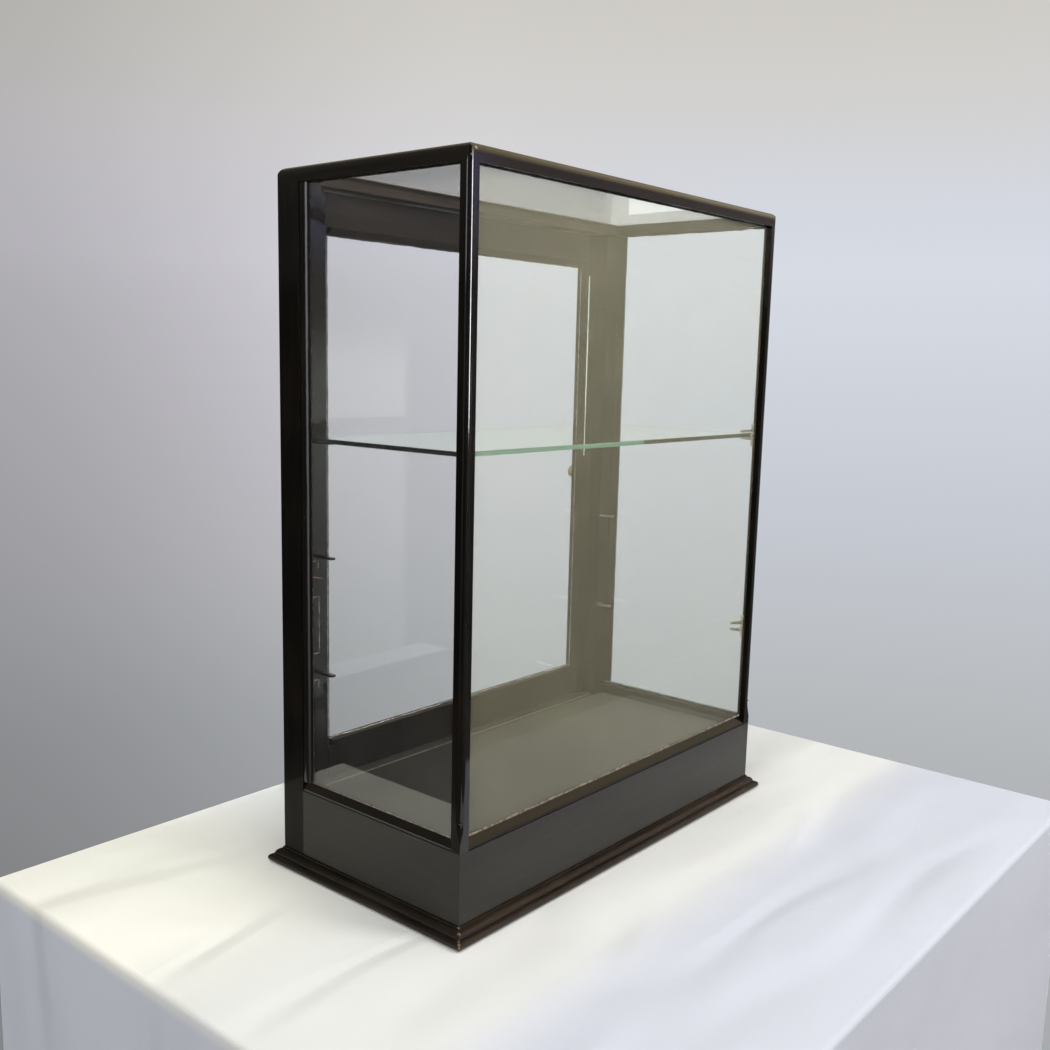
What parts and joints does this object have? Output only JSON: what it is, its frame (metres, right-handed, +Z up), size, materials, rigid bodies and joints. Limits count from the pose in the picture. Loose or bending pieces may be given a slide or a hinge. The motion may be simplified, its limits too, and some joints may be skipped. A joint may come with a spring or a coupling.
{
  "type": "countertop display case",
  "caption": "Tall glazed countertop display case with a dark wood frame, moulded plinth, glass shelf on metal supports and a framed glass door at the back.",
  "frame": {"origin": "on the table, under the middle of the case", "axes": "+X across the wide front to the right, +Y from the front pane to the rear door, +Z up"},
  "size_m": [0.61, 0.309, 0.78],
  "materials": {
    "varnished_wood": "dark glossy varnish, worn",
    "floor_wood": "stained, dusty",
    "bare_wood": "unfinished",
    "window_glass": "clear, old",
    "shelf_glass": "clear, ground edges",
    "worn_nickel": "tarnished plate",
    "aged_brass": "aged, satin"
  },
  "bodies": {
    "case": {"plinth_front": "varnished_wood", "plinth_left": "varnished_wood", "plinth_right": "varnished_wood", "plinth_rear": "varnished_wood", "corner_blocks": "bare_wood", "floor_battens": "bare_wood", "base_moulding_front": "varnished_wood", "base_moulding_left": "varnished_wood", "base_moulding_right": "varnished_wood", "base_moulding_rear": "varnished_wood", "floor_panel": "floor_wood", "rear_sill": "floor_wood", "bottom_rail_front": "varnished_wood", "bottom_rail_left": "varnished_wood", "bottom_rail_right": "varnished_wood", "bottom_bead_front": "varnished_wood", "bottom_bead_left": "varnished_wood", "bottom_bead_right": "varnished_wood", "side_bead_left": "varnished_wood", "side_bead_right": "varnished_wood", "front_post_left": "varnished_wood", "front_post_right": "varnished_wood", "rear_post_left": "varnished_wood", "rear_post_right": "varnished_wood", "top_rail_front": "varnished_wood", "top_rail_left": "varnished_wood", "top_rail_right": "varnished_wood", "rear_header": "varnished_wood", "header_bead_strip": "varnished_wood", "frame_dowels": "bare_wood", "front_pane": "window_glass", "left_pane": "window_glass", "right_pane": "window_glass", "top_pane": "window_glass", "glass_shelf": "shelf_glass", "upper_brackets": "worn_nickel", "lower_brackets": "worn_nickel", "bracket_screws": "worn_nickel", "rear_shelf_tongues": "worn_nickel", "hinge_leaves_case": "aged_brass", "hinge_pins": "aged_brass", "hinge_screws_case": "aged_brass", "strike_plate": "aged_brass", "strike_screws": "aged_brass"},
    "rear_door": {"door_stile_hinge": "varnished_wood", "door_stile_catch": "varnished_wood", "door_rail_top": "varnished_wood", "door_rail_bottom": "varnished_wood", "door_pane": "window_glass", "door_beads_upright": "varnished_wood", "door_beads_level": "varnished_wood", "hinge_leaves_door": "aged_brass", "hinge_screws_door": "aged_brass", "catch_case": "aged_brass", "catch_rose": "aged_brass"},
    "knob": {"catch_knob": "aged_brass"},
    "bolt": {"catch_bolt": "aged_brass"}
  },
  "joints": [
    {"name": "rear_door_hinge", "type": "hinge", "parent": "case", "child": "rear_door", "pos_m": [-0.2583, 0.1433, 0.4265], "axis": [0, 0, 1], "range_deg": [0, 170]},
    {"name": "knob_turn", "type": "hinge", "parent": "rear_door", "child": "knob", "pos_m": [0.2478, 0.132, 0.425], "axis": [0, -1, 0], "range_deg": [0, 90]},
    {"name": "bolt_slide", "type": "slide", "parent": "rear_door", "child": "bolt", "axis": [1, 0, 0], "range_m": [0, 0.0051]}
  ],
  "couplings": [
    {"joint": "bolt_slide", "follows": "knob_turn", "m_per_rad": 0.0031831}
  ]
}
